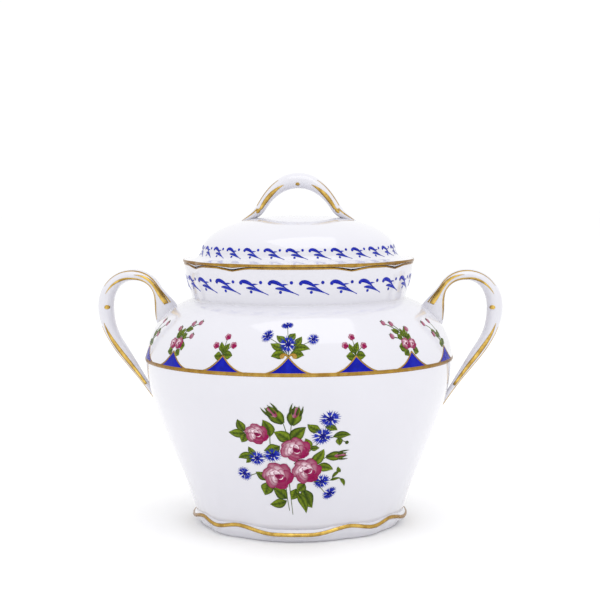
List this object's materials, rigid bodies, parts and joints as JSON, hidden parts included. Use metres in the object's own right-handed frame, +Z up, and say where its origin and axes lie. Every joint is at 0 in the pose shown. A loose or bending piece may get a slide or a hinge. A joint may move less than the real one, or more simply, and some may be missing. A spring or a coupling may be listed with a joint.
{
  "type": "lidded sugar bowl",
  "caption": "Round porcelain sugar bowl with a lobed foot, two strap side handles and a lift-off domed lid with a bow handle, gilt lines and painted flowers.",
  "frame": {"origin": "centre of the resting face of the foot", "axes": "+Z up along the bowl's own axis; the two side handles lie along X and the face seen first is -Y"},
  "size_m": [0.1388, 0.1054, 0.1198],
  "materials": {
    "porcelain": "gloss",
    "gilding": "gloss",
    "blue_enamel": "gloss",
    "pink_enamel": "gloss",
    "green_enamel": "gloss"
  },
  "bodies": {
    "bowl": {"bowl_body": "porcelain", "foot_ring": "porcelain", "handle_left": "porcelain", "handle_right": "porcelain", "belly_gilt_band": "gilding", "rim_gilt_band": "gilding", "foot_gilt_band": "gilding"},
    "lid": {"lid_dome": "porcelain", "lid_collar": "porcelain", "lid_handle": "porcelain", "lid_gilt_band": "gilding"}
  },
  "joints": [
    {"name": "lid_lift", "type": "slide", "parent": "bowl", "child": "lid", "axis": [0, 0, 1], "range_m": [0, 0.055]}
  ]
}
